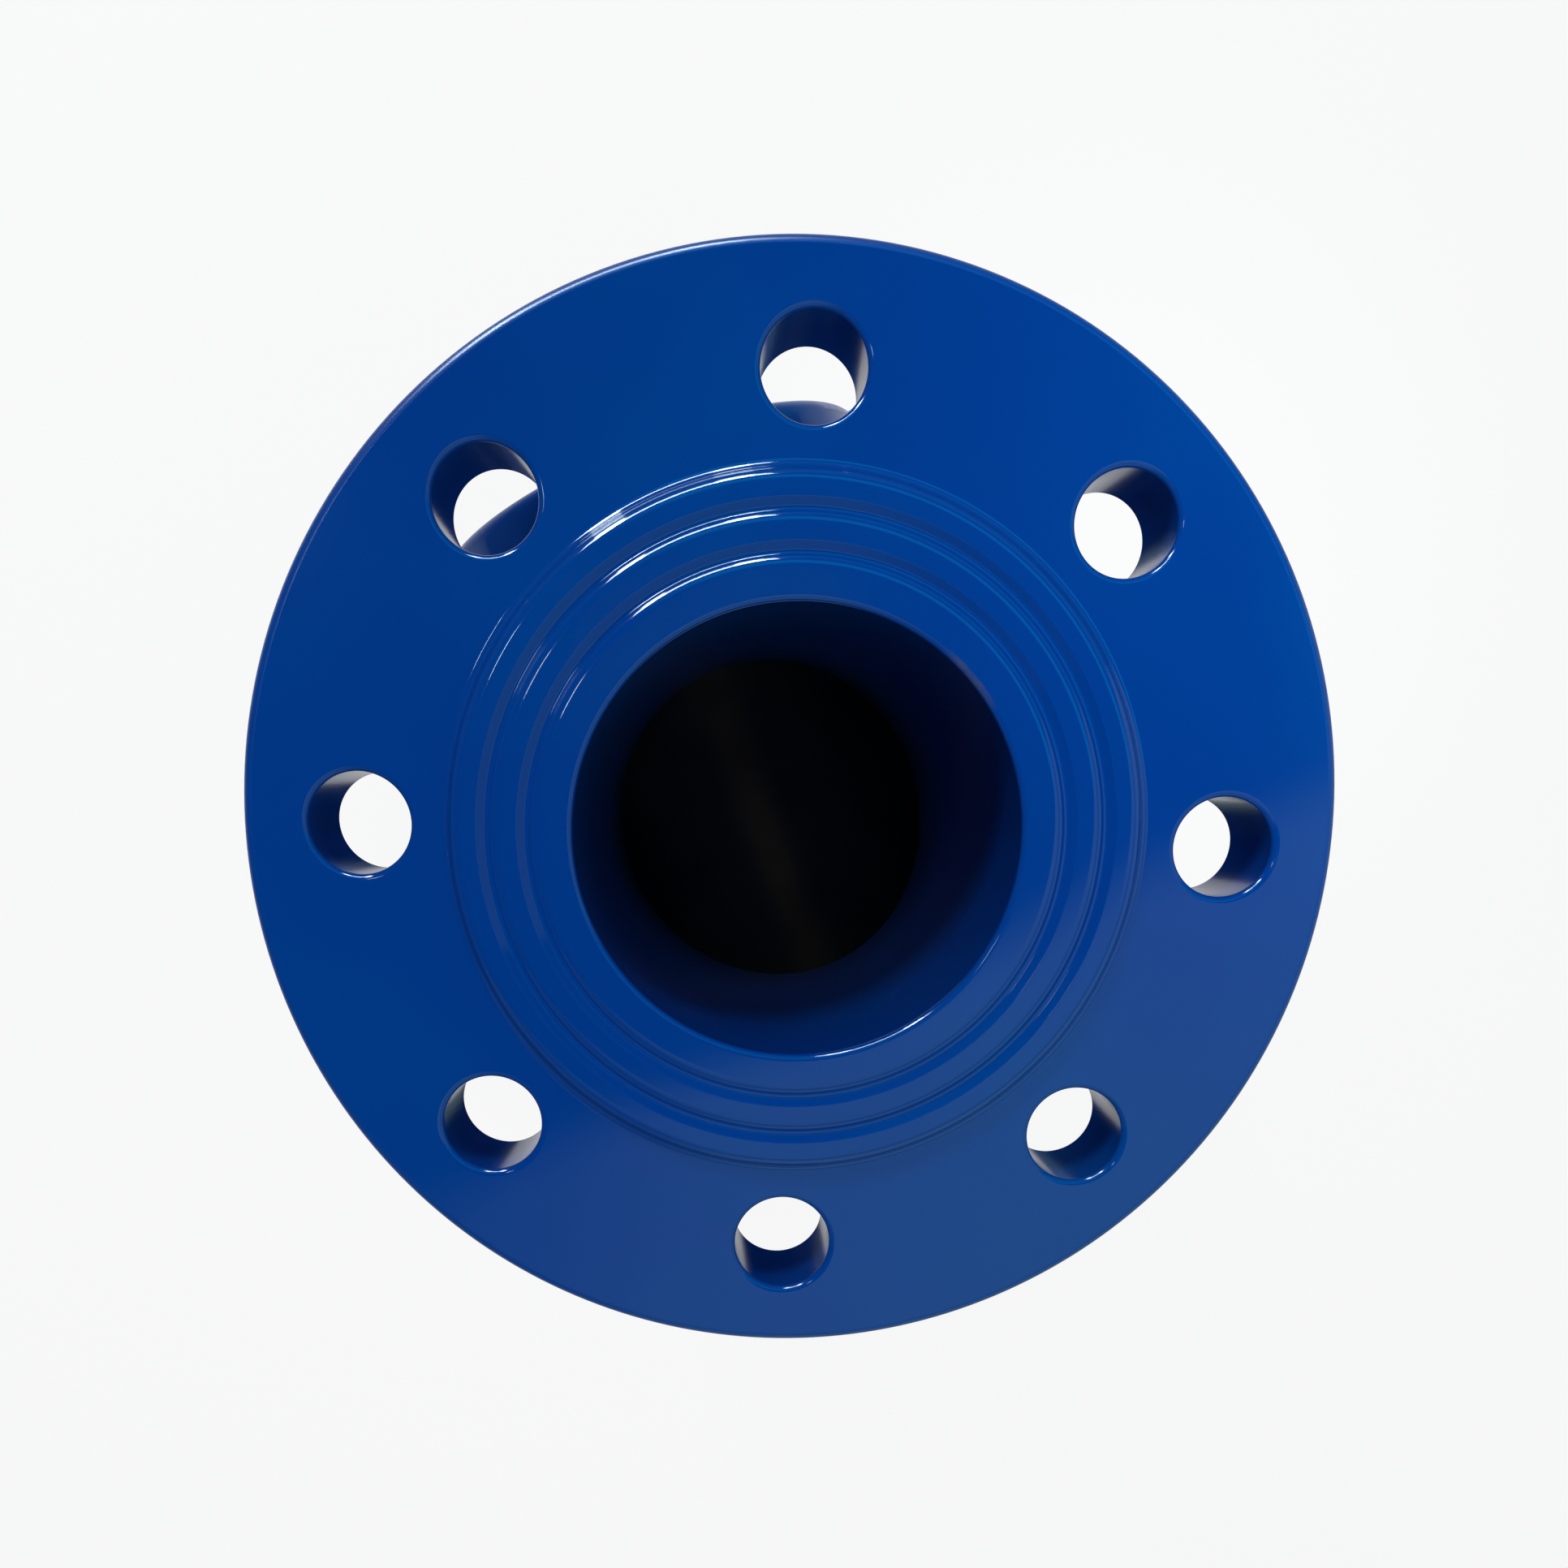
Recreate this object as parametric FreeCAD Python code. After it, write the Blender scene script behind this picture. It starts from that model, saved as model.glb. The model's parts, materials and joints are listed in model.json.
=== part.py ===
import FreeCAD, Part
import math
import os

from FreeCAD import Vector

# Flanged saddle clamp: two cast half shells bolted round a pipe, with a flanged branch on the upper one.
# Sizes are in millimetres. The origin is where the pipe's axis meets the branch's axis.
# X runs along the pipe, Y across it, and Z points up the branch.

# Pipe and rubber lining
pipe_diameter = 110.0
lining_thickness = 4.0
lining_clearance = 0.2
lining_end_inset = 2.0
lining_split_gap = 1.0
lining_hole_margin = 1.0

# Cast half shells and their bolt ears
shell_length = 195.0
shell_wall = 6.0
shell_edge_radius = 3.0
shell_mouth_radius = 1.5
clamp_gap = 8.0
ear_thickness = 16.0
ear_root_radius = 5.0
ear_corner_radius = 22.0
ear_edge_distance = 16.0
ear_hole_diameter = 18.0
ear_hole_edge_radius = 0.8
split_edge_radius = 1.0

# Webs that stiffen the ears and run on round the shells
web_count = 3
web_spacing = 36.0
web_thickness = 8.0
web_height = 8.0
web_tip_inset = 4.5
web_edge_radius = 2.5
web_root_radius = 3.0

# Branch neck
branch_bore_diameter = 82.0
branch_mouth_radius = 1.2
neck_wall = 8.5
neck_root_radius = 10.0
neck_top_radius = 8.0

# Flange at the end of the branch
face_height = 145.0
flange_diameter = 202.0
flange_thickness = 18.0
flange_edge_radius = 2.0
bolt_circle_diameter = 160.0
flange_hole_diameter = 18.6
flange_hole_count = 8
flange_hole_edge_radius = 1.2

# Raised face with its gasket grooves
raised_height = 3.0
raised_top_diameter = 125.2
raised_slope_width = 1.45
raised_lip_radius = 2.9
raised_foot_radius = 2.0
groove_diameters = (98.85, 113.3)
groove_width = 3.2
groove_depth = 1.35
groove_inner_lean = 1.05
groove_outer_lean = 0.55
groove_inner_lip_radius = 2.7
groove_inner_floor_radius = 0.7
groove_outer_floor_radius = 1.8
groove_outer_lip_radius = 0.25

# Clamp bolts, nuts and washers
bolt_diameter = 16.0
bolt_end_distance = 27.5
hexagon_across_flats = 24.0
hexagon_bevel_angle = 30.0
head_height = 10.0
nut_height = 14.8
thread_clearance = 0.1
thread_chamfer = 1.5
thread_stand_out = 4.2
washer_diameter = 30.0
washer_hole_diameter = 17.0
washer_thickness = 3.0
washer_to_root_clearance = 0.8

# Sizes that follow from the ones above
pipe_radius = pipe_diameter / 2
lining_radius = pipe_radius + lining_thickness
shell_bore_radius = lining_radius + lining_clearance
shell_radius = shell_bore_radius + shell_wall
split_height = clamp_gap / 2
ear_top = split_height + ear_thickness
ear_root_y = math.sqrt((shell_radius + ear_root_radius) ** 2 - (ear_top + ear_root_radius) ** 2)
bolt_x = shell_length / 2 - bolt_end_distance
bolt_y = ear_root_y + washer_to_root_clearance + washer_diameter / 2
ear_y = bolt_y + ear_edge_distance
bore_radius = branch_bore_diameter / 2
neck_radius = bore_radius + neck_wall
branch_foot = shell_radius / 2
flange_front = face_height - raised_height
flange_back = flange_front - flange_thickness
cutter_over_run = 5.0
same_place = 1e-4

X_AXIS = Vector(1, 0, 0)
Y_AXIS = Vector(0, 1, 0)
Z_AXIS = Vector(0, 0, 1)
ORIGIN = Vector(0, 0, 0)


def line(start, end):
    return Part.LineSegment(start, end).toShape()


def arc(start, middle, end):
    return Part.Arc(start, middle, end).toShape()


def rounded_outline(corners):
    """A closed wire through corners, each a point and the radius that rounds it."""
    edges = []
    count = len(corners)
    ends = []
    for index, (corner, radius) in enumerate(corners):
        back = (corners[index - 1][0] - corner).normalize()
        ahead = (corners[(index + 1) % count][0] - corner).normalize()
        half_angle = back.getAngle(ahead) / 2
        setback = radius / math.tan(half_angle)
        start = corner + back * setback
        end = corner + ahead * setback
        ends.append((start, end))
        if radius > 0:
            inward = (back + ahead).normalize()
            middle = corner + inward * (radius / math.sin(half_angle) - radius)
            edges.append(arc(start, middle, end))
    for index in range(count):
        edges.append(line(ends[index - 1][1], ends[index][0]))
    return Part.Wire(Part.__sortEdges__(edges))


def turned(corners):
    """A solid turned about Z, from corners that are each a radius, a height and a rounding radius."""
    points = [(Vector(0, radius, height), rounding) for radius, height, rounding in corners]
    return Part.Face(rounded_outline(points)).revolve(ORIGIN, Z_AXIS, 360)


def mouth_arc(radius, face, inward, edge_radius):
    """The rounded mouth of a hole: from its wall to a face, where inward points into the metal."""
    centre = Vector(radius + edge_radius, 0, face + inward * edge_radius)
    on_wall = centre - X_AXIS * edge_radius
    on_face = centre - Z_AXIS * inward * edge_radius
    middle = centre - (X_AXIS + Z_AXIS * inward).normalize() * edge_radius
    return on_wall, middle, on_face


def hole_cutter(radius, low, high, low_edge, high_edge):
    """A cutter along Z for a round hole from low to high, flared so that its mouths come out rounded."""
    low_wall, low_middle, low_face = mouth_arc(radius, low, 1, low_edge)
    high_wall, high_middle, high_face = mouth_arc(radius, high, -1, high_edge)
    below = Vector(low_face.x, 0, low - cutter_over_run)
    above = Vector(high_face.x, 0, high + cutter_over_run)
    edges = [
        line(Vector(0, 0, below.z), below),
        line(below, low_face),
        arc(low_face, low_middle, low_wall),
        line(low_wall, high_wall),
        arc(high_wall, high_middle, high_face),
        line(high_face, above),
        line(above, Vector(0, 0, above.z)),
        line(Vector(0, 0, above.z), Vector(0, 0, below.z)),
    ]
    return Part.Face(Part.Wire(edges)).revolve(ORIGIN, Z_AXIS, 360)


def along_x(shape):
    shape = shape.copy()
    shape.rotate(ORIGIN, Y_AXIS, 90)
    return shape


def turned_over(shape):
    shape = shape.copy()
    shape.rotate(ORIGIN, X_AXIS, 180)
    return shape


def moved(shape, offset):
    shape = shape.copy()
    shape.translate(offset)
    return shape


def lies_on(edge, shape):
    """Whether an edge lies on a solid's surface from end to end."""
    low, high = edge.ParameterRange
    for share in (0, 0.5, 1):
        point = Part.Vertex(edge.valueAt(low + (high - low) * share))
        if point.distToShape(shape.Shells[0])[0] > same_place:
            return False
    return True


def round_seams(base, pieces, radius):
    """The base joined with its pieces, with every seam between the base and a piece rounded."""
    joined = base.multiFuse(pieces).removeSplitter()
    seams = []
    for edge in joined.Edges:
        if lies_on(edge, base) and any(lies_on(edge, piece) for piece in pieces):
            seams.append(edge)
    return joined.makeFillet(radius, seams)


# Half shell with its ears, common to both castings


def shell_section():
    """The casting's section across the pipe: a half round that runs into an ear on each side."""
    centre = Vector(0, ear_root_y, ear_top + ear_root_radius)
    on_ear = centre - Z_AXIS * ear_root_radius
    on_shell = centre * (shell_radius / centre.Length)
    between = ((on_ear - centre).normalize() + (on_shell - centre).normalize()).normalize()
    root_middle = centre + between * ear_root_radius
    side = [
        Vector(0, ear_y, split_height),
        Vector(0, ear_y, ear_top),
        on_ear,
        root_middle,
        on_shell,
    ]
    other = [Vector(0, -point.y, point.z) for point in side]
    edges = [line(other[0], side[0])]
    for points in (side, other):
        edges.append(line(points[0], points[1]))
        edges.append(line(points[1], points[2]))
        edges.append(arc(points[2], points[3], points[4]))
    edges.append(arc(on_shell, Vector(0, 0, shell_radius), other[4]))
    return Part.Face(Part.Wire(Part.__sortEdges__(edges)))


def plan_block():
    """A tall block with the casting's outline from above, rounded at the ears' corners."""
    half = shell_length / 2
    corners = [
        (Vector(half, ear_y, 0), ear_corner_radius),
        (Vector(-half, ear_y, 0), ear_corner_radius),
        (Vector(-half, -ear_y, 0), ear_corner_radius),
        (Vector(half, -ear_y, 0), ear_corner_radius),
    ]
    return Part.Face(rounded_outline(corners)).extrude(Z_AXIS * face_height)


def is_wall(face):
    """Whether a face stands upright, as the casting's ends and ear edges do."""
    surface = face.Surface
    if isinstance(surface, Part.Plane):
        return abs(surface.Axis.z) < 1e-6
    if isinstance(surface, Part.Cylinder):
        return abs(surface.Axis.z) > 1 - 1e-6
    return False


def wall_edges(shape, at_split):
    """The edges round the casting's outline, either those at the split or those above it."""
    chosen = []
    for face in shape.Faces:
        if not is_wall(face):
            continue
        for edge in face.Edges:
            box = edge.BoundBox
            upright = box.XLength < 1e-6 and box.YLength < 1e-6
            low = box.ZMax < split_height + 1e-6
            if not upright and low == at_split:
                chosen.append(edge)
    return chosen


def plain_body():
    section = shell_section()
    section.translate(Vector(-shell_length / 2, 0, 0))
    body = section.extrude(X_AXIS * shell_length).common(plan_block())
    body = body.makeFillet(shell_edge_radius, wall_edges(body, False))
    return body.makeFillet(split_edge_radius, wall_edges(body, True))


def web(x):
    """A web across the casting at x: straight from each ear's edge, then round the shell."""
    rim = shell_radius + web_height
    tip = Vector(0, ear_y - web_tip_inset, ear_top)
    foot = Vector(0, tip.y, split_height + ear_thickness / 2)
    touch_angle = math.atan2(tip.z, tip.y) + math.acos(rim / tip.Length)
    touch = Vector(0, rim * math.cos(touch_angle), rim * math.sin(touch_angle))
    side = [foot, tip, touch]
    other = [Vector(0, -point.y, point.z) for point in side]
    edges = [line(other[0], side[0])]
    for points in (side, other):
        edges.append(line(points[0], points[1]))
        edges.append(line(points[1], points[2]))
    edges.append(arc(touch, Vector(0, 0, rim), other[2]))
    outline = Part.Face(Part.Wire(Part.__sortEdges__(edges)))
    plate = outline.extrude(X_AXIS * web_thickness)
    rims = []
    for edge in plate.Edges:
        along = edge.BoundBox.XLength > 1e-6
        if not along and edge.BoundBox.ZMax > ear_top + 1e-6:
            rims.append(edge)
    plate = plate.makeFillet(web_edge_radius, rims)
    return moved(plate, X_AXIS * (x - web_thickness / 2))


def half_body():
    """The half shell and ears with their webs, solid inside until the pipe's bore is cut."""
    first = -web_spacing * (web_count - 1) / 2
    webs = [web(first + index * web_spacing) for index in range(web_count)]
    return round_seams(plain_body(), webs, web_root_radius)


def bolt_places():
    return [Vector(x, y, 0) for x in (-bolt_x, bolt_x) for y in (-bolt_y, bolt_y)]


def shell_cutters():
    """The pipe's bore with its rounded mouths, and the holes through the ears."""
    half = shell_length / 2
    bore = hole_cutter(shell_bore_radius, -half, half, shell_mouth_radius, shell_mouth_radius)
    ear_hole = hole_cutter(
        ear_hole_diameter / 2, split_height, ear_top, ear_hole_edge_radius, ear_hole_edge_radius
    )
    return [along_x(bore)] + [moved(ear_hole, place) for place in bolt_places()]


# Branch with its flange


def groove(diameter):
    """A groove with a soft slope inside and a steeper wall outside, as points from outside to inside."""
    outer_lip = (diameter + groove_width) / 2
    inner_lip = (diameter - groove_width) / 2
    floor = face_height - groove_depth
    return [
        (outer_lip, face_height, groove_outer_lip_radius),
        (outer_lip - groove_outer_lean, floor, groove_outer_floor_radius),
        (inner_lip + groove_inner_lean, floor, groove_inner_floor_radius),
        (inner_lip, face_height, groove_inner_lip_radius),
    ]


def branch():
    """The neck and flange as one turned solid, reaching down into the shell."""
    raised_top = raised_top_diameter / 2
    corners = [
        (0, branch_foot, 0),
        (neck_radius, branch_foot, 0),
        (neck_radius, flange_back, neck_top_radius),
        (flange_diameter / 2, flange_back, flange_edge_radius),
        (flange_diameter / 2, flange_front, flange_edge_radius),
        (raised_top + raised_slope_width, flange_front, raised_foot_radius),
        (raised_top, face_height, raised_lip_radius),
    ]
    for diameter in sorted(groove_diameters, reverse=True):
        corners += groove(diameter)
    corners.append((0, face_height, 0))
    return turned(corners)


def branch_on_shell():
    """The branch joined to a plain half round shell, with a generous root between them."""
    length = shell_length - 2 * shell_edge_radius
    shell = Part.makeCylinder(shell_radius, length, Vector(-length / 2, 0, 0), X_AXIS)
    width = 2 * shell_radius
    low = split_height + split_edge_radius
    upper_half = Part.makeBox(length, width, width, Vector(-length / 2, -width / 2, low))
    return round_seams(shell.common(upper_half), [branch()], neck_root_radius)


def flange_cutters():
    """The branch bore and the flange's ring of bolt holes, set either side of the pipe's axis."""
    reach = math.sqrt(shell_bore_radius**2 - bore_radius**2)
    bore = hole_cutter(bore_radius, reach / 2, face_height, branch_mouth_radius, branch_mouth_radius)
    hole = hole_cutter(
        flange_hole_diameter / 2,
        flange_back,
        flange_front,
        flange_hole_edge_radius,
        flange_hole_edge_radius,
    )
    hole.translate(X_AXIS * bolt_circle_diameter / 2)
    step = 360 / flange_hole_count
    holes = []
    for index in range(flange_hole_count):
        turned_hole = hole.copy()
        turned_hole.rotate(ORIGIN, Z_AXIS, (index + 0.5) * step)
        holes.append(turned_hole)
    return [bore] + holes


# Castings


def upper_saddle():
    body = half_body().fuse(branch_on_shell())
    return body.cut(shell_cutters() + flange_cutters()).removeSplitter()


def lower_saddle():
    return turned_over(half_body().cut(shell_cutters()).removeSplitter())


# Rubber lining


def half_lining():
    length = shell_length - 2 * lining_end_inset
    start = Vector(-length / 2, 0, 0)
    sleeve = Part.makeCylinder(lining_radius, length, start, X_AXIS)
    sleeve = sleeve.cut(Part.makeCylinder(pipe_radius, length, start, X_AXIS))
    width = 2 * lining_radius
    upper_half = Part.makeBox(length, width, width, Vector(-length / 2, -width / 2, lining_split_gap / 2))
    return sleeve.common(upper_half)


def upper_lining():
    hole = Part.makeCylinder(bore_radius + lining_hole_margin, face_height)
    return half_lining().cut(hole)


def lower_lining():
    return turned_over(half_lining())


# Fasteners, made standing on the bolt's own axis


def hexagon(height, both_ends):
    """A hexagon prism from z 0 up, with its corners bevelled at the top or at both ends."""
    flat_radius = hexagon_across_flats / 2
    corner_radius = flat_radius / math.cos(math.radians(30))
    angles = [math.radians(60 * index) for index in range(7)]
    corners = [Vector(corner_radius * math.cos(angle), corner_radius * math.sin(angle), 0) for angle in angles]
    shape = Part.Face(Part.makePolygon(corners)).extrude(Z_AXIS * height)
    wide_radius = flat_radius + height / math.tan(math.radians(hexagon_bevel_angle))
    shape = shape.common(Part.makeCone(wide_radius, flat_radius, height))
    if both_ends:
        shape = shape.common(Part.makeCone(flat_radius, wide_radius, height))
    return shape


def washer():
    ring = Part.makeCylinder(washer_diameter / 2, washer_thickness)
    return ring.cut(Part.makeCylinder(washer_hole_diameter / 2, washer_thickness))


def clamp_bolt():
    """A hexagon bolt with its head on the upper ear's washer and its end past the nut."""
    seat = ear_top + washer_thickness
    end = -seat - nut_height - thread_stand_out
    radius = bolt_diameter / 2
    shank = turned(
        [
            (0, end, 0),
            (radius - thread_chamfer, end, 0),
            (radius, end + thread_chamfer, 0),
            (radius, seat, 0),
            (0, seat, 0),
        ]
    )
    return shank.fuse(moved(hexagon(head_height, False), Z_AXIS * seat)).removeSplitter()


def clamp_nut():
    """A nut under the lower ear's washer."""
    nut = hexagon(nut_height, True)
    hole = Part.makeCylinder(bolt_diameter / 2 + thread_clearance, nut_height)
    return moved(nut.cut(hole), Z_AXIS * -(ear_top + washer_thickness + nut_height))


def fasteners():
    """Each bolt's own pieces, by name."""
    pieces = {}
    upper_washer = moved(washer(), Z_AXIS * ear_top)
    lower_washer = moved(washer(), Z_AXIS * -(ear_top + washer_thickness))
    kinds = {
        "clamp_bolt": clamp_bolt(),
        "clamp_nut": clamp_nut(),
        "head_washer": upper_washer,
        "nut_washer": lower_washer,
    }
    for number, place in enumerate(bolt_places(), 1):
        for kind, shape in kinds.items():
            pieces[f"{kind}_{number}"] = moved(shape, place)
    return pieces


def main():
    pieces = {
        "upper_saddle": upper_saddle(),
        "lower_saddle": lower_saddle(),
        "upper_lining": upper_lining(),
        "lower_lining": lower_lining(),
    }
    pieces.update(fasteners())
    os.makedirs("parts", exist_ok=True)
    for name, shape in pieces.items():
        if len(shape.Solids) != 1 or not shape.isValid():
            raise RuntimeError(f"{name} is not one sound solid")
        shape.Solids[0].exportStep(f"parts/{name}.step")


main()
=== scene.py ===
import json
import math

import bmesh
import bpy
from mathutils import Euler, Matrix, Vector


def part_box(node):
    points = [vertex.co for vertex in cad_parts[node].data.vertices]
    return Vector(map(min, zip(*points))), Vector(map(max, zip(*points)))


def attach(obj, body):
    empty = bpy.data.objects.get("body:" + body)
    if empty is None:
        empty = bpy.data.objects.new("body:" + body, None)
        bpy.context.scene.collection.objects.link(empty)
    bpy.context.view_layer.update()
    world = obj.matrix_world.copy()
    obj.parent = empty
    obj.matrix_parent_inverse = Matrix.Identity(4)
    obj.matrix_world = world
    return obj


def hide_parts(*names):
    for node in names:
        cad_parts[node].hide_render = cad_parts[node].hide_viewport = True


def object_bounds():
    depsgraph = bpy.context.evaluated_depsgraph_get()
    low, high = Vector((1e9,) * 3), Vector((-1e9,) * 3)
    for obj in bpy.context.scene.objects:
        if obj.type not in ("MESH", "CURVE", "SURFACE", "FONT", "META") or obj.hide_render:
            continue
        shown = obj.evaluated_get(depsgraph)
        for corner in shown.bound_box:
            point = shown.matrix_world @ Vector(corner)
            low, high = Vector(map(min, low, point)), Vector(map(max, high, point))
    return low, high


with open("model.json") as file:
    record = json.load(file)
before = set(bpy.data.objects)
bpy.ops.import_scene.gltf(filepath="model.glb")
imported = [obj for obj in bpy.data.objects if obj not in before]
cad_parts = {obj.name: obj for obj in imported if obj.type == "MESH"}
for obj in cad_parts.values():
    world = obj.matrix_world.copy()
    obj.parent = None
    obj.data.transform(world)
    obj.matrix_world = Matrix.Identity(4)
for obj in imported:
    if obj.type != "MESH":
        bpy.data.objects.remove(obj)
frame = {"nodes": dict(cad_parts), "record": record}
cad_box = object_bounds()

# The photograph's view: right and up on the picture, seen from above, as directions in the part's frame.
VIEW_TURN = math.radians(112.5)
VIEW_RIGHT = Vector((math.cos(VIEW_TURN), -math.sin(VIEW_TURN), 0))
VIEW_UP = Vector((math.sin(VIEW_TURN), math.cos(VIEW_TURN), 0))

CAMERA_PLACE = (0.013626, 0.010715, 0.337288)
CAMERA_ANGLES = (-9.9533, -1.6458, -110.8369)
CAMERA_LENS = 24.2
CAMERA_SHIFT = (0.0235, 0.1194)
CAMERA_SENSOR = 36
CAMERA_NEAR = 0.01

# The flange, its raised face and its neck, in metres as radii and heights.
FACE_HEIGHT = 0.145
FLANGE_FRONT = 0.142
FLANGE_BACK = 0.124
FLANGE_RADIUS = 0.101
FLANGE_EDGE = 0.002
RAISED_TOP = 0.0626
RAISED_FOOT = 0.06405
RAISED_LIP = 0.0029
RAISED_ROOT = 0.002
NECK_RADIUS = 0.0495
NECK_ROUNDING = 0.008
BORE_RADIUS = 0.041
BORE_MOUTH = 0.0012
BORE_LOW = 0.040
BORE_MARGIN = 0.0001
SHELL_BORE_RADIUS = 0.0592
SLEEVE_RADIUS = 0.045

# Each gasket groove, from its middle: a slope with a broad rounded lip inside and a straight slope outside.
GROOVE_RADII = (0.049425, 0.05665)
GROOVE_HALF_WIDTH = 0.0016
GROOVE_DEPTH = 0.0010
GROOVE_INNER_LEAN = 0.00119
GROOVE_OUTER_LEAN = 0.00138
GROOVE_INNER_LIP = 0.0032
GROOVE_INNER_FLOOR = 0.0010
GROOVE_OUTER_FLOOR = 0.0005
GROOVE_OUTER_LIP = 0.00025

# The flange's bolt holes.
HOLE_CIRCLE = 0.080
HOLE_RADIUS = 0.0093
HOLE_EDGE = 0.0012
HOLE_COUNT = 8

# Clamp bolts, nuts and washers.
BOLT_COUNT = 4
BOLT_RADIUS = 0.008
THREAD_PITCH = 0.002
THREAD_DEPTH = 0.00115
THREAD_TOP = -0.004
THREAD_ROWS = 10
THREAD_FLANK = 1.25
THREAD_CREST = 0.06
SHANK_SIDES = 48
HEX_FLAT = 0.012
HEX_BEVEL = math.radians(30)
HEX_PAST_CORNER = 1.02
NUT_HOLE = 0.0081
NUT_SINK = 0.0088
WASHER_HOLE = 0.0085
WASHER_EDGE = 0.0003

# Facets of what is turned, the angle that stays sharp, and how far a cutter reaches past what it cuts.
ARC_STEP = math.radians(6)
TURNS = 256
SHARP = math.radians(25)
OVER = 0.004
SAME_PLACE = 1e-5
MERGE_WITHIN = 1e-7
NO_LENGTH = 1e-8

# What the coat mirrors. Each pair of numbers is where a smooth step starts and ends: on the height of a
# ray's direction, from 0 at the horizon to 1 straight above, or on how well it points a given way.
DOME = (0.05, 0.08, 0.11, 1)
DOME_TOP = (0.20, 0.62)
ZENITH = (0.006, 0.010, 0.014, 1)
GLOW_BEARING = 50
GLOW = (0.05, 0.42, 0.70, 1)
GLOW_SPREAD = (0.10, 0.80)
GLOW_FOOT = (0.02, 0.20)
BAND = (0.03, 1.0, 1.9, 1)
BAND_SPREAD = (0.12, 0.42)
BAND_FOOT = (0.60, 0.70)
BAND_TOP = (0.81, 0.89)

# A broad grey wall on one side, which the flange mirrors beyond a straight line. It is dimmer towards the
# left of the picture and between two heights.
WALL_BEARING = -63.2
WALL = (0.36, 0.56, 0.42, 1)
WALL_EDGE = (0.21, 0.29)
WALL_LEFT = (-0.40, 0.10)
WALL_LEFT_SHARE = 0.2
WALL_DIM_FOOT = (0.40, 0.47)
WALL_DIM_TOP = (0.62, 0.70)
WALL_DIM_SHARE = 0.45
LOWEST = 0.01

# The floor: how much of its look is plain white, and how that fades in reflections, in metres.
FLOOR_SIZE = 8
FLOOR_GREY = 0.8
FLOOR_WHITE = 0.88
FLOOR_FADE = (0.16, 0.45)
FLOOR_FAR = 0.2

# Colours of the mirrored lamps and of the others, and the size of the spot.
COOL = (0.74, 0.92, 1.0)
NEUTRAL = (1.0, 1.0, 1.0)
SPOT_SIZE = 0.05

# Blue epoxy on iron, in two near tones, with painted shade darkening it deep in the bore and a mark on the
# bore's mouth.
EPOXY = (0.0004, 0.046, 0.298, 1)
EPOXY_LIGHT = (0.0003, 0.059, 0.312, 1)
EPOXY_TONES = (0.35, 0.65)
# Painted shade deep in the bore, and the heights between which it fades in.
BORE_PAINTED_SHADE = (0.0003, 0.003, 0.012, 1)
BORE_PAINTED_SHADE_DEPTH = (0.035, 0.090)
MARK = (0.10, 0.085, 0.07, 1)
MARK_BEARING = 44
MARK_LENGTH = (0.002, 0.008)
MARK_WIDTH = (0.0002, 0.0008)
MARK_SHARE = 0.7
STEEP = (0.3, 0.8)
HOLE_REACH = 0.011
END_BAND = (0.005, 0.003)
GLOSS = 0.06
SOFTER = 0.20
EPOXY_IOR = 1.5

# Black rubber, with a painted highlight along its bottom, and zinc-plated steel, each in two near tones.
RUBBER = (0.0003, 0.0010, 0.0030, 1)
RUBBER_LIGHT = (0.0006, 0.0014, 0.0036, 1)
# A painted highlight along the lining's bottom, and how wide it is.
RUBBER_PAINTED_HIGHLIGHT = (0.009, 0.0065, 0.0060, 1)
RUBBER_HIGHLIGHT_WIDTH = (0.001, 0.012)
RUBBER_ROUGHNESS = (0.40, 0.55)
RUBBER_IOR = 1.15
ZINC = (0.46, 0.47, 0.49, 1)
ZINC_LIGHT = (0.66, 0.66, 0.64, 1)
ZINC_ROUGHNESS = (0.24, 0.40)
CLOUDS = (0.3, 0.7)

# Fine relief, each as the scale of its noise, its detail, its height in metres and its strength.
SWELL = (38.0, 1.0, 0.000012, 1.0)
PEEL = (330.0, 2.0, 0.0000015, 1.0)
RUBBER_GRAIN = (900.0, 3.0, 0.00005, 0.4)
ZINC_GRAIN = (1200.0, 2.0, 0.00004, 0.3)


def bearing(degrees):
    """The level direction that lies at an angle on the picture, counted from its right towards its top."""
    angle = math.radians(degrees)
    return VIEW_RIGHT * math.cos(angle) + VIEW_UP * math.sin(angle)


# Node trees


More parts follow.
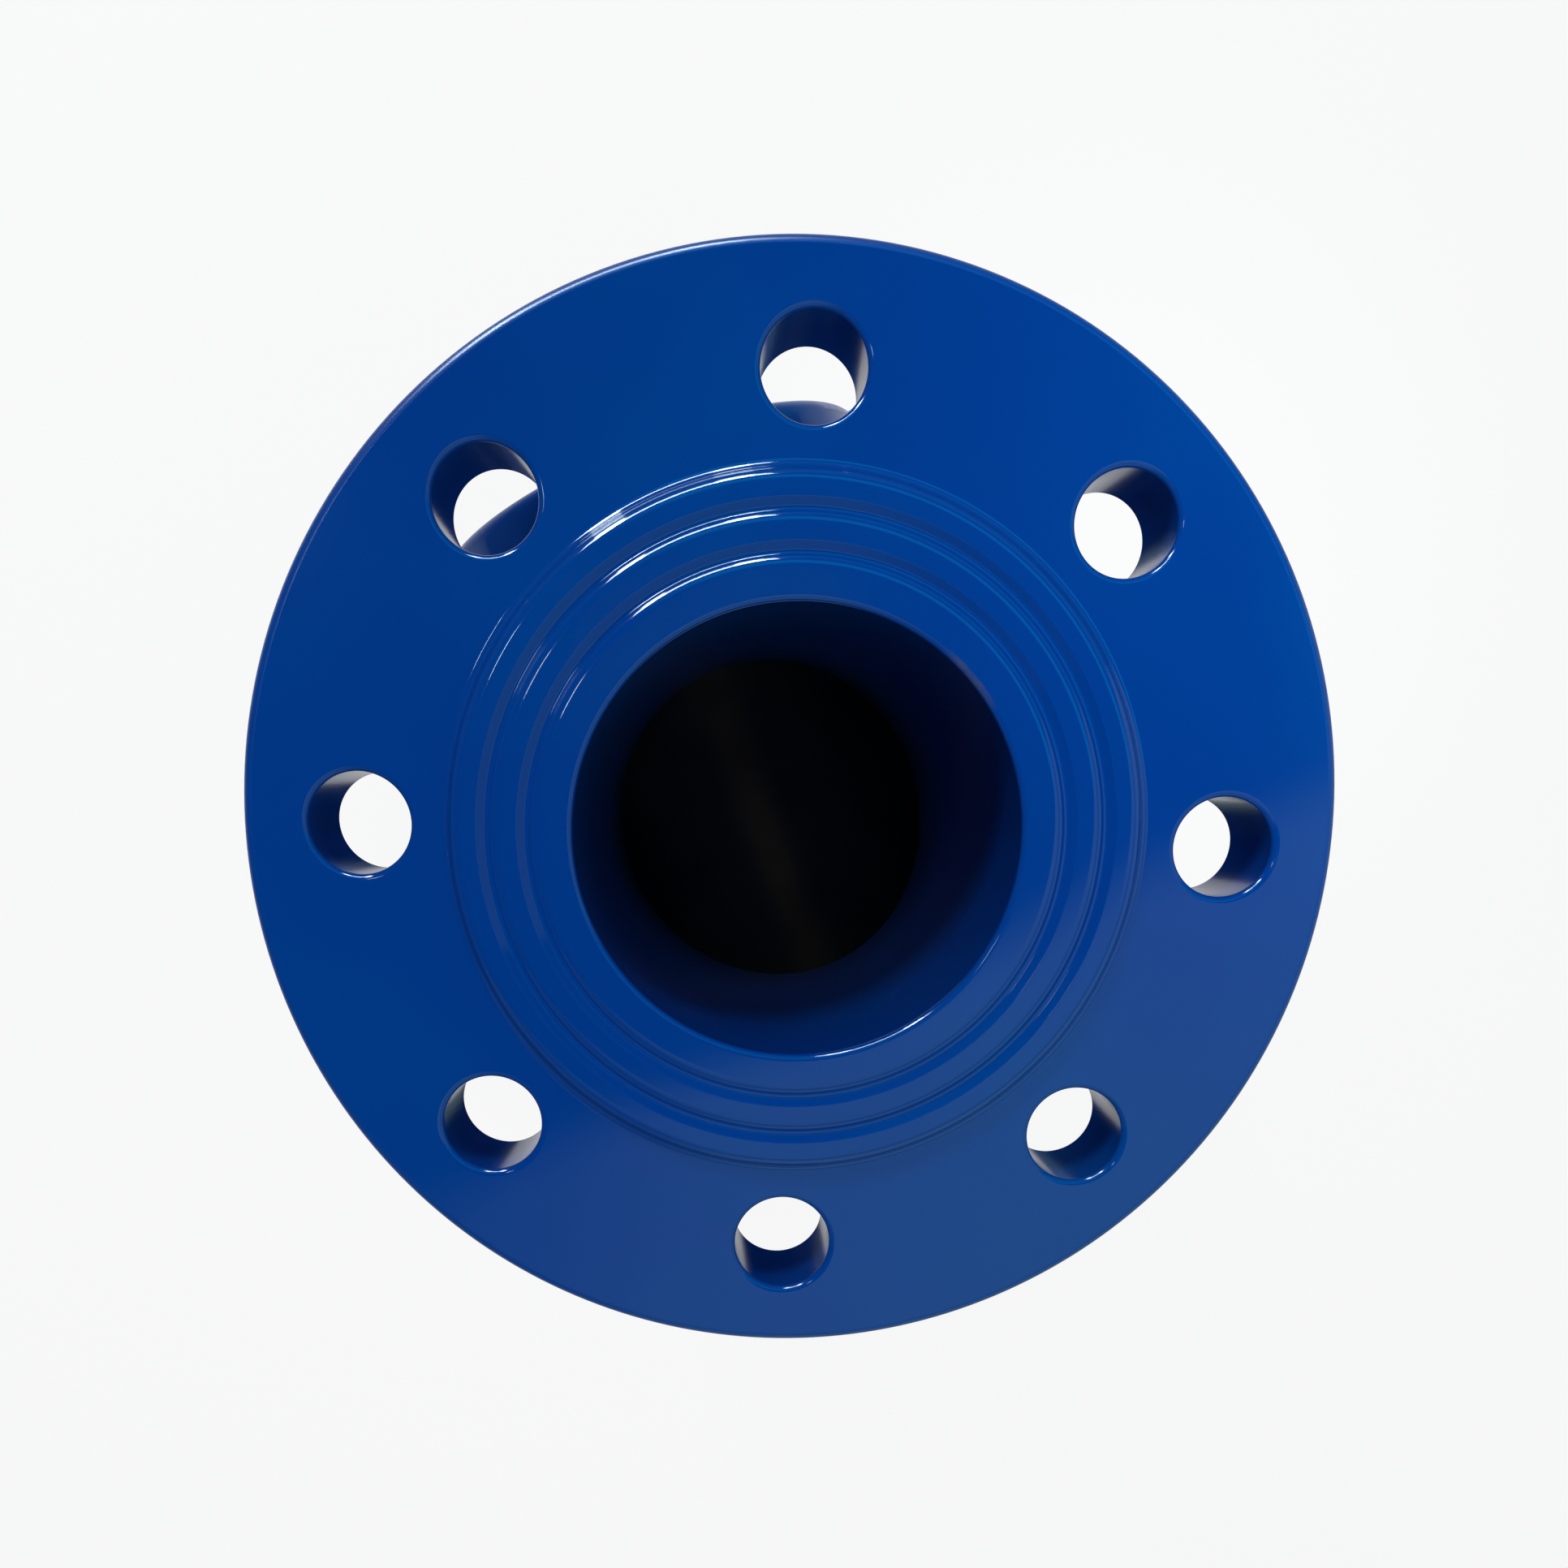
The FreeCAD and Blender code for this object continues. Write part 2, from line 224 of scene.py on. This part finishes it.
class Tree:
    """A short way to write a node tree: each call adds a node, wires its inputs and gives an output."""

    def __init__(self, owner):
        owner.use_nodes = True
        self.nodes = owner.node_tree.nodes
        self.links = owner.node_tree.links
        self.nodes.clear()

    def add(self, kind, inputs=None, out=0, **settings):
        node = self.nodes.new("ShaderNode" + kind)
        for name, value in settings.items():
            setattr(node, name, value)
        for name, value in (inputs or {}).items():
            self.join(value, node.inputs[name])
        return node.outputs[out] if node.outputs else None

    def join(self, value, socket):
        if isinstance(value, bpy.types.NodeSocket):
            self.links.new(value, socket)
        else:
            socket.default_value = value

    def math(self, operation, *values):
        return self.add("Math", dict(enumerate(values)), operation=operation)

    def dot(self, vector, direction):
        return self.add("VectorMath", {0: vector, 1: direction}, out="Value", operation="DOT_PRODUCT")

    def length(self, vector):
        return self.add("VectorMath", {0: vector}, out="Value", operation="LENGTH")

    def distance(self, value, other):
        return self.math("ABSOLUTE", self.math("SUBTRACT", value, other))

    def ramp(self, value, low, high, to_low=0.0, to_high=1.0):
        limits = {"Value": value, "From Min": low, "From Max": high, "To Min": to_low, "To Max": to_high}
        return self.add("MapRange", limits, interpolation_type="SMOOTHSTEP")

    def mix(self, share, first, second):
        return self.add("Mix", {"Factor": share, 6: first, 7: second}, out=2, data_type="RGBA")

    def noise(self, place, scale, detail=2.0, roughness=0.5):
        inputs = {"Vector": place, "Scale": scale, "Detail": detail, "Roughness": roughness}
        return self.add("TexNoise", inputs)

    def relief(self, place, scale, detail, distance, strength, below=None):
        """A normal bent by noise, on top of the one below where there is one."""
        inputs = {"Strength": strength, "Distance": distance, "Height": self.noise(place, scale, detail)}
        if below is not None:
            inputs["Normal"] = below
        return self.add("Bump", inputs)

    def seen(self):
        """1 on camera, glossy and transmission rays, and 0 on rays that light other things."""
        path = self.nodes.new("ShaderNodeLightPath").outputs
        shown = self.math("MAXIMUM", path["Is Camera Ray"], path["Is Glossy Ray"])
        return self.math("MAXIMUM", shown, path["Is Transmission Ray"])


def grey(level):
    return (level, level, level, 1.0)


# Studio


def make_world():
    """A dim dome with a glow and a bright band on one side, and a grey wall that the flange mirrors."""
    world = bpy.data.worlds.new("studio")
    bpy.context.scene.world = world
    tree = Tree(world)
    path = tree.nodes.new("ShaderNodeLightPath").outputs
    aim = tree.add("TexCoord", out="Generated")
    height = tree.dot(aim, (0, 0, 1))
    to_glow = tree.dot(aim, bearing(GLOW_BEARING))
    near_glow = tree.math("MULTIPLY", tree.ramp(to_glow, *GLOW_SPREAD), tree.ramp(height, *GLOW_FOOT))
    sky = tree.mix(tree.ramp(height, *DOME_TOP), tree.mix(near_glow, DOME, GLOW), ZENITH)
    band = tree.math("MULTIPLY", tree.ramp(height, *BAND_FOOT), tree.ramp(height, *BAND_TOP, 1.0, 0.0))
    band = tree.math("MULTIPLY", band, tree.ramp(to_glow, *BAND_SPREAD))
    sky = tree.mix(tree.math("MULTIPLY", band, path["Is Glossy Ray"]), sky, BAND)
    level = tree.math("MAXIMUM", height, LOWEST)
    slope = tree.math("DIVIDE", tree.dot(aim, bearing(WALL_BEARING)), level)
    left = tree.ramp(tree.dot(aim, bearing(0)), *WALL_LEFT, WALL_LEFT_SHARE, 1.0)
    above_dim = tree.ramp(height, *WALL_DIM_TOP, WALL_DIM_SHARE, 1.0)
    below_dim = tree.ramp(height, *WALL_DIM_FOOT, 1.0, WALL_DIM_SHARE)
    share = tree.math("MULTIPLY", tree.ramp(slope, *WALL_EDGE), left)
    share = tree.math("MULTIPLY", share, tree.math("MAXIMUM", above_dim, below_dim))
    colour = tree.mix(share, sky, WALL)
    colour = tree.mix(path["Is Camera Ray"], colour, grey(1.0))
    tree.add("OutputWorld", {"Surface": tree.add("Background", {"Color": colour})})


def make_floor():
    """A pale floor that keeps the part's shadow, and whose mirror image darkens away from the part."""
    low = cad_box[0]
    bpy.ops.mesh.primitive_plane_add(size=FLOOR_SIZE, location=(0, 0, low.z))
    floor = bpy.context.object
    floor.name = "floor"
    surface = bpy.data.materials.new("pale_floor")
    tree = Tree(surface)
    matt = tree.add("BsdfDiffuse", {"Color": grey(FLOOR_GREY)})
    white = tree.add("Emission", {"Color": grey(1.0), "Strength": 1.0})
    away = tree.length(tree.add("TexCoord", out="Object"))
    mirrored = tree.nodes.new("ShaderNodeLightPath").outputs["Is Glossy Ray"]
    fade = tree.mix(mirrored, grey(1.0), tree.ramp(away, *FLOOR_FADE, 1.0, FLOOR_FAR))
    share = tree.math("MULTIPLY", tree.math("MULTIPLY", tree.seen(), FLOOR_WHITE), fade)
    tree.add("OutputMaterial", {"Surface": tree.add("MixShader", {0: share, 1: matt, 2: white})})
    floor.data.materials.append(surface)


def hang(name, data, angle, lean, distance):
    """Hangs a lamp at a bearing on the picture, leaning from straight above, aimed at the flange."""
    aim = bearing(angle) * math.sin(math.radians(lean)) + Vector((0, 0, math.cos(math.radians(lean))))
    lamp = bpy.data.objects.new(name, data)
    lamp.location = Vector((0, 0, FACE_HEIGHT)) + aim * distance
    lamp.rotation_mode = "QUATERNION"
    lamp.rotation_quaternion = aim.to_track_quat("Z", "Y")
    bpy.context.collection.objects.link(lamp)
    return lamp


def softbox(name, angle, lean, distance, width, height, level, mirrored=True):
    """A softbox that the glossy coat mirrors or, where mirrored is false, one that only lights the part."""
    data = bpy.data.lights.new(name, "AREA")
    data.shape = "RECTANGLE"
    data.size = width
    data.size_y = height
    data.energy = level * width * height * math.pi
    data.color = COOL if mirrored else NEUTRAL
    lamp = hang(name, data, angle, lean, distance)
    lamp.visible_glossy = mirrored
    lamp.visible_diffuse = not mirrored


def spotlight(name, angle, lean, distance, energy, spread):
    """A soft spot that only lights the part, pointing straight down."""
    data = bpy.data.lights.new(name, "SPOT")
    data.energy = energy
    data.spot_size = math.radians(spread)
    data.spot_blend = 1.0
    data.shadow_soft_size = SPOT_SIZE
    lamp = hang(name, data, angle, lean, distance)
    lamp.rotation_quaternion = Vector((0, 0, 1)).to_track_quat("Z", "Y")
    lamp.visible_glossy = False


def make_lamps():
    """Plain light from above and one side, and the softboxes whose images lie on the rounded rings."""
    softbox("key", 109.5, 65, 1.3, 0.74, 0.22, 24.0)
    softbox("key_left", 121.5, 72, 1.25, 0.13, 0.54, 24.0)
    softbox("key_right", 98.5, 68, 1.25, 0.13, 0.34, 24.0)
    softbox("strip", 150, 31, 1.3, 0.13, 0.08, 20.0)
    softbox("top", 97, 6, 1.0, 0.30, 0.30, 18.4, mirrored=False)
    softbox("fill", 120, 67, 1.5, 0.30, 0.30, 23.0, mirrored=False)
    spotlight("glow", 34, 4.3, 2.0, energy=62, spread=8.6)


def make_camera():
    data = bpy.data.cameras.new("camera")
    data.sensor_width = CAMERA_SENSOR
    data.lens = CAMERA_LENS
    data.shift_x, data.shift_y = CAMERA_SHIFT
    data.clip_start = CAMERA_NEAR
    camera = bpy.data.objects.new("camera", data)
    camera.location = CAMERA_PLACE
    camera.rotation_euler = Euler([math.radians(angle) for angle in CAMERA_ANGLES])
    bpy.context.collection.objects.link(camera)
    bpy.context.scene.camera = camera


# Shapes


def rounded(corners, arc_step=ARC_STEP):
    """Points along a closed outline of corners, each a radius, a height and a rounding radius."""
    points = []
    for index, (radius, height, rounding) in enumerate(corners):
        corner = Vector((radius, height))
        if not rounding:
            points.append(corner)
            continue
        back = (Vector(corners[index - 1][:2]) - corner).normalized()
        ahead = (Vector(corners[(index + 1) % len(corners)][:2]) - corner).normalized()
        half = back.angle(ahead) / 2
        centre = corner + (back + ahead).normalized() * (rounding / math.sin(half))
        start = (corner + back * (rounding / math.tan(half)) - centre) / rounding
        end = (corner + ahead * (rounding / math.tan(half)) - centre) / rounding
        sweep = math.pi - 2 * half
        steps = max(2, math.ceil(sweep / arc_step))
        for step in range(steps + 1):
            before = math.sin(sweep * (1 - step / steps))
            after = math.sin(sweep * step / steps)
            points.append(centre + (start * before + end * after) * (rounding / math.sin(sweep)))
    return points


def turn(mesh, points, turns=TURNS, place=Matrix()):
    """Adds a closed surface, turned about Z from an outline of (radius, height) points."""
    rows = []
    for step in range(turns):
        angle = 2 * math.pi * step / turns
        side = Vector((math.cos(angle), math.sin(angle), 0))
        spots = [side * point.x + Vector((0, 0, point.y)) for point in points]
        rows.append([mesh.verts.new(place @ spot) for spot in spots])
    for step in range(turns):
        here, there = rows[step], rows[(step + 1) % turns]
        for index in range(len(points)):
            after = (index + 1) % len(points)
            mesh.faces.new((here[index], there[index], there[after], here[after]))


def finished(name, mesh, smooth=True):
    """An object from a mesh of closed surfaces, cleaned and facing outwards."""
    bmesh.ops.remove_doubles(mesh, verts=mesh.verts, dist=MERGE_WITHIN)
    bmesh.ops.dissolve_degenerate(mesh, edges=mesh.edges, dist=NO_LENGTH)
    bmesh.ops.recalc_face_normals(mesh, faces=mesh.faces)
    data = bpy.data.meshes.new(name)
    mesh.to_mesh(data)
    mesh.free()
    for face in data.polygons:
        face.use_smooth = smooth
    piece = bpy.data.objects.new(name, data)
    bpy.context.collection.objects.link(piece)
    return piece


def turned(name, corners, turns=TURNS, arc_step=ARC_STEP):
    mesh = bmesh.new()
    turn(mesh, rounded(corners, arc_step), turns)
    return finished(name, mesh)


def carve(piece, tool, operation="DIFFERENCE"):
    """Cuts a piece with a tool, or keeps what they share, and deletes the tool."""
    cut = piece.modifiers.new("cut", "BOOLEAN")
    cut.object = tool
    cut.operation = operation
    cut.solver = "EXACT"
    bpy.context.view_layer.update()
    mesh = bpy.data.meshes.new_from_object(piece.evaluated_get(bpy.context.evaluated_depsgraph_get()))
    piece.modifiers.clear()
    piece.data = mesh
    bpy.data.objects.remove(tool)


def even_shading(piece, angle=None):
    """Lets flat faces keep their own normals, so that roundings shade cleanly beside them."""
    if angle:
        piece.data.set_sharp_from_angle(angle=angle)
    weighted = piece.modifiers.new("weighted", "WEIGHTED_NORMAL")
    weighted.weight = 100
    weighted.keep_sharp = True


def hole_outline(radius, low, high, edge):
    """The outline of a cutter for a round hole whose mouths come out rounded."""
    return rounded([
        (0, low - OVER, 0),
        (radius + edge, low - OVER, 0),
        (radius + edge, low, 0),
        (radius, low, edge),
        (radius, high, edge),
        (radius + edge, high, 0),
        (radius + edge, high + OVER, 0),
        (0, high + OVER, 0),
    ])


# Casting


def groove(middle):
    """A gasket groove's corners, from inside to outside."""
    inner, outer = middle - GROOVE_HALF_WIDTH, middle + GROOVE_HALF_WIDTH
    floor = FACE_HEIGHT - GROOVE_DEPTH
    return [
        (inner, FACE_HEIGHT, GROOVE_INNER_LIP),
        (inner + GROOVE_INNER_LEAN, floor, GROOVE_INNER_FLOOR),
        (outer - GROOVE_OUTER_LEAN, floor, GROOVE_OUTER_FLOOR),
        (outer, FACE_HEIGHT, GROOVE_OUTER_LIP),
    ]


def flange():
    """The flange with its raised face and bore, turned finely, with its bolt holes cut."""
    neck_top = FLANGE_BACK - NECK_ROUNDING
    corners = [(BORE_RADIUS, FACE_HEIGHT, BORE_MOUTH)]
    for middle in GROOVE_RADII:
        corners += groove(middle)
    corners += [
        (RAISED_TOP, FACE_HEIGHT, RAISED_LIP),
        (RAISED_FOOT, FLANGE_FRONT, RAISED_ROOT),
        (FLANGE_RADIUS, FLANGE_FRONT, FLANGE_EDGE),
        (FLANGE_RADIUS, FLANGE_BACK, FLANGE_EDGE),
        (NECK_RADIUS, FLANGE_BACK, NECK_ROUNDING),
        (NECK_RADIUS, neck_top, 0),
        (SLEEVE_RADIUS, neck_top, 0),
        (SLEEVE_RADIUS, BORE_LOW, 0),
        (BORE_RADIUS, BORE_LOW, 0),
    ]
    piece = turned("flange", corners)
    holes = bmesh.new()
    outline = hole_outline(HOLE_RADIUS, FLANGE_BACK, FLANGE_FRONT, HOLE_EDGE)
    for index in range(HOLE_COUNT):
        place = Matrix.Rotation(2 * math.pi * (index + 0.5) / HOLE_COUNT, 4, "Z")
        turn(holes, outline, TURNS // 2, place @ Matrix.Translation((HOLE_CIRCLE, 0, 0)))
    pipe_room = [(0, -1), (SHELL_BORE_RADIUS, -1), (SHELL_BORE_RADIUS, 1), (0, 1)]
    along_pipe = Matrix.Rotation(math.pi / 2, 4, "Y")
    turn(holes, [Vector(point) for point in pipe_room], TURNS, along_pipe)
    carve(piece, finished("holes", holes))
    even_shading(piece, SHARP)
    return piece


def islands(mesh):
    """The mesh's separate surfaces, each as a list of its vertices."""
    left = set(mesh.verts)
    while left:
        frontier = [left.pop()]
        island = list(frontier)
        while frontier:
            for edge in frontier.pop().link_edges:
                for vertex in edge.verts:
                    if vertex in left:
                        left.remove(vertex)
                        island.append(vertex)
                        frontier.append(vertex)
        yield island


def casting_body():
    """The upper casting's own mesh without the surfaces that the finer flange stands for."""
    piece = bpy.data.objects.new("casting_body", frame["nodes"]["upper_saddle"].data.copy())
    bpy.context.collection.objects.link(piece)
    mesh = bmesh.new()
    mesh.from_mesh(piece.data)
    kept = []
    neck_top = FLANGE_BACK - NECK_ROUNDING
    for island in islands(mesh):
        above_neck = min(vertex.co.z for vertex in island) > neck_top - SAME_PLACE
        in_bore = all(abs(vertex.co.xy.length - BORE_RADIUS) < SAME_PLACE for vertex in island)
        if not above_neck and not in_bore:
            kept += [vertex.index for vertex in island]
    mesh.free()
    piece.vertex_groups.new(name="kept").add(kept, 1.0, "REPLACE")
    mask = piece.modifiers.new("mask", "MASK")
    mask.vertex_group = "kept"
    return piece


# Fasteners, made standing on the bolt's own axis


def hexagon(name, low, high, bevel_low, bevel_high):
    """A hexagon prism along Z with its corners bevelled at either end."""
    mesh = bmesh.new()
    corner = HEX_FLAT / math.cos(math.radians(30))
    turn(mesh, [Vector(point) for point in ((0, low), (corner, low), (corner, high), (0, high))], 6)
    piece = finished(name, mesh, False)
    reach = HEX_PAST_CORNER * corner
    drop = (reach - HEX_FLAT) * math.tan(HEX_BEVEL)
    foot = [(HEX_FLAT, low), (reach, low + drop)] if bevel_low else [(reach, low)]
    head = [(reach, high - drop), (HEX_FLAT, high)] if bevel_high else [(reach, high)]
    outline = [(0, low)] + foot + head + [(0, high)]
    mesh = bmesh.new()
    turn(mesh, [Vector(point) for point in outline], TURNS // 2)
    carve(piece, finished("bevels", mesh), "INTERSECT")
    return piece


def thread_depth(row, rows, side, sides):
    """How deep the thread lies at one point of the grid, fading out towards the head."""
    wave = abs((row / THREAD_ROWS - side / sides) % 1 * 2 - 1)
    fade = min(1, (rows - row) / THREAD_ROWS)
    chamfer = max(0, 1 - row / THREAD_ROWS)
    groove_depth = min(max(wave * THREAD_FLANK - THREAD_CREST, 0), 1)
    return THREAD_DEPTH * max(fade * groove_depth, chamfer)


def shank(low, seat, sides=SHANK_SIDES):
    """A bolt's shank with a rolled thread from its end at low up to the plain part under the seat."""
    mesh = bmesh.new()
    rows = round((THREAD_TOP - low) / THREAD_PITCH * THREAD_ROWS)
    rings = []
    for row in range(rows + 2):
        height = seat if row > rows else low + (THREAD_TOP - low) * row / rows
        ring = []
        for side in range(sides):
            reach = BOLT_RADIUS - (0 if row > rows else thread_depth(row, rows, side, sides))
            angle = 2 * math.pi * side / sides
            ring.append(mesh.verts.new((reach * math.cos(angle), reach * math.sin(angle), height)))
        rings.append(ring)
    for lower, upper in zip(rings, rings[1:]):
        for side in range(sides):
            after = (side + 1) % sides
            mesh.faces.new((lower[side], lower[after], upper[after], upper[side]))
    mesh.faces.new(rings[0])
    mesh.faces.new(rings[-1])
    piece = finished("shank", mesh)
    even_shading(piece, SHARP)
    return piece


def bolt_head(low, high):
    piece = hexagon("bolt_head", low, high, False, True)
    even_shading(piece, SHARP)
    return piece


def nut(low, high):
    """A hexagon nut whose hole is sunk a little at both ends."""
    piece = hexagon("nut", low, high, True, True)
    sink = NUT_SINK - NUT_HOLE
    outline = [
        (0, low - OVER),
        (NUT_SINK + OVER, low - OVER),
        (NUT_HOLE, low + sink),
        (NUT_HOLE, high - sink),
        (NUT_SINK + OVER, high + OVER),
        (0, high + OVER),
    ]
    mesh = bmesh.new()
    turn(mesh, [Vector(point) for point in outline], TURNS // 4)
    carve(piece, finished("hole", mesh))
    even_shading(piece, SHARP)
    return piece


def washer(low, high, radius):
    corners = [(WASHER_HOLE, low), (radius, low), (radius, high), (WASHER_HOLE, high)]
    piece = turned("washer", [(*corner, WASHER_EDGE) for corner in corners], TURNS // 2, 4 * ARC_STEP)
    even_shading(piece)
    return piece


def placed(piece, node, suffix=""):
    """A copy of a fastener's piece on the axis of the CAD node that it stands for."""
    low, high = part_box(node)
    copy = piece.copy()
    copy.name = node + "_detail" + suffix
    copy.location = ((low.x + high.x) / 2, (low.y + high.y) / 2, 0)
    bpy.context.collection.objects.link(copy)
    return copy


def make_fasteners():
    """Detailed bolts, nuts and washers, each on its CAD node's own axis and between its own ends."""
    made = []
    bolt_low, bolt_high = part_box("clamp_bolt_1")
    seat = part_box("head_washer_1")[1].z
    patterns = {"head_washer": [], "nut_washer": [], "clamp_nut": [], "clamp_bolt": []}
    for kind in ("head_washer", "nut_washer"):
        low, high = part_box(kind + "_1")
        patterns[kind].append(washer(low.z, high.z, (high.x - low.x) / 2))
    low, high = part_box("clamp_nut_1")
    patterns["clamp_nut"].append(nut(low.z, high.z))
    patterns["clamp_bolt"] += [bolt_head(seat, bolt_high.z), shank(bolt_low.z, seat)]
    for kind, pieces in patterns.items():
        for number in range(1, BOLT_COUNT + 1):
            for index, piece in enumerate(pieces):
                made.append((placed(piece, f"{kind}_{number}", f"_{index + 1}"), f"{kind}_{number}"))
        for piece in pieces:
            bpy.data.objects.remove(piece)
    return made


# Materials


def principled(tree, inputs):
    tree.add("OutputMaterial", {"Surface": tree.add("BsdfPrincipled", inputs)})


def bore_mark(tree, place, out):
    """How much of the mark on the bore's mouth shows at a place that lies this far out."""
    mouth = BORE_RADIUS + BORE_MOUTH / 2
    middle = bearing(MARK_BEARING) * mouth + Vector((0, 0, FACE_HEIGHT))
    away = tree.add("VectorMath", {0: place, 1: middle}, out="Value", operation="DISTANCE")
    along = tree.ramp(away, *MARK_LENGTH, MARK_SHARE, 0.0)
    across = tree.ramp(tree.distance(out, mouth), *MARK_WIDTH, 1.0, 0.0)
    return tree.math("MULTIPLY", tree.math("MULTIPLY", along, tree.noise(place, 500.0, 3.0)), across)


def softer_places(tree, place, out, height):
    """1 in the bolt holes, on the flange's rim and on the shell's ends, where the coat is less glossy."""
    normal = tree.add("NewGeometry", out="Normal")
    upright = tree.math("ABSOLUTE", tree.dot(normal, (0, 0, 1)))
    above = tree.math("GREATER_THAN", height, FLANGE_BACK)
    by_holes = tree.math("LESS_THAN", tree.distance(out, HOLE_CIRCLE), HOLE_REACH)
    in_hole = tree.math("MULTIPLY", tree.ramp(upright, *STEEP, 1.0, 0.0), by_holes)
    on_rim = tree.math("GREATER_THAN", out, FLANGE_RADIUS - FLANGE_EDGE)
    on_flange = tree.math("MULTIPLY", tree.math("MAXIMUM", in_hole, on_rim), above)
    shell_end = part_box("lower_saddle")[1].x
    along = tree.math("ABSOLUTE", tree.dot(place, (1, 0, 0)))
    near_end = tree.ramp(along, shell_end - END_BAND[0], shell_end - END_BAND[1])
    at_end = tree.math("MULTIPLY", near_end, tree.math("SUBTRACT", 1.0, above))
    return tree.math("MAXIMUM", on_flange, at_end)


def coated_iron():
    """Deep blue epoxy, smooth and glossy, softer at some edges, with painted shade darkening it deep in the
    bore.
    """
    material = bpy.data.materials.new("coated_iron")
    tree = Tree(material)
    place = tree.add("TexCoord", out="Object")
    height = tree.dot(place, (0, 0, 1))
    level_place = tree.add("VectorMath", {0: place, 1: (1, 1, 0)}, operation="MULTIPLY")
    out = tree.length(level_place)
    colour = tree.mix(tree.ramp(tree.noise(place, 10.0, 3.0), *EPOXY_TONES), EPOXY, EPOXY_LIGHT)
    # Painted shade: the bore wall's colour darkens towards black with depth, standing in for the shade
    # inside the bore.
    in_bore = tree.math("LESS_THAN", out, BORE_RADIUS + BORE_MARGIN)
    bore_shade = tree.math("MULTIPLY", tree.ramp(height, *BORE_PAINTED_SHADE_DEPTH, 1.0, 0.0), in_bore)
    colour = tree.mix(bore_shade, colour, BORE_PAINTED_SHADE)
    colour = tree.mix(bore_mark(tree, place, out), colour, MARK)
    rough = tree.math("MULTIPLY_ADD", softer_places(tree, place, out, height), SOFTER, GLOSS)
    skin = tree.relief(place, *PEEL, below=tree.relief(place, *SWELL))
    principled(tree, {"Base Color": colour, "Roughness": rough, "Normal": skin, "IOR": EPOXY_IOR})
    return material


def lining_rubber():
    """Dull black rubber with a faint painted highlight along its bottom."""
    material = bpy.data.materials.new("lining_rubber")
    tree = Tree(material)
    place = tree.add("TexCoord", out="Object")
    bloom = tree.noise(place, 30.0, 3.0)
    # Painted highlight: a paler streak along the lining's bottom, standing in for a reflection in the
    # hollow rubber.
    across = tree.math("ABSOLUTE", tree.dot(place, (0, 1, 0)))
    painted_highlight = tree.math("MULTIPLY", tree.ramp(across, *RUBBER_HIGHLIGHT_WIDTH, 1.0, 0.0), bloom)
    colour = tree.mix(painted_highlight, tree.mix(bloom, RUBBER, RUBBER_LIGHT), RUBBER_PAINTED_HIGHLIGHT)
    rough = tree.ramp(bloom, *CLOUDS, *RUBBER_ROUGHNESS)
    bump = tree.relief(place, *RUBBER_GRAIN)
    principled(tree, {"Base Color": colour, "Roughness": rough, "Normal": bump, "IOR": RUBBER_IOR})
    return material


def zinc_steel():
    """Zinc-plated steel, cloudy and a little uneven."""
    material = bpy.data.materials.new("zinc_steel")
    tree = Tree(material)
    place = tree.add("TexCoord", out="Object")
    clouds = tree.noise(place, 160.0, 4.0)
    colour = tree.mix(clouds, ZINC, ZINC_LIGHT)
    rough = tree.ramp(clouds, *CLOUDS, *ZINC_ROUGHNESS)
    bump = tree.relief(place, *ZINC_GRAIN)
    principled(tree, {"Base Color": colour, "Metallic": 1.0, "Roughness": rough, "Normal": bump})
    return material


def dress():
    """Gives every CAD node and every finer piece its finish, and hides the CAD node that each finer piece
    stands for.
    """
    finishes = {
        "coated_iron": coated_iron(),
        "lining_rubber": lining_rubber(),
        "zinc_steel": zinc_steel(),
    }
    slots = {entry["node"]: entry["material_slot"] for entry in frame["record"]["subparts"]}
    for name, piece in frame["nodes"].items():
        for slot in piece.material_slots:
            slot.material = finishes[slots[name]]
    finer = [(flange(), "upper_saddle"), (casting_body(), "upper_saddle")] + make_fasteners()
    for piece, node in finer:
        piece.data.materials.clear()
        piece.data.materials.append(finishes[slots[node]])
        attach(piece, "root")
        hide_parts(node)


make_world()
make_floor()
make_lamps()
make_camera()
dress()

bpy.context.scene.view_settings.view_transform = "Standard"
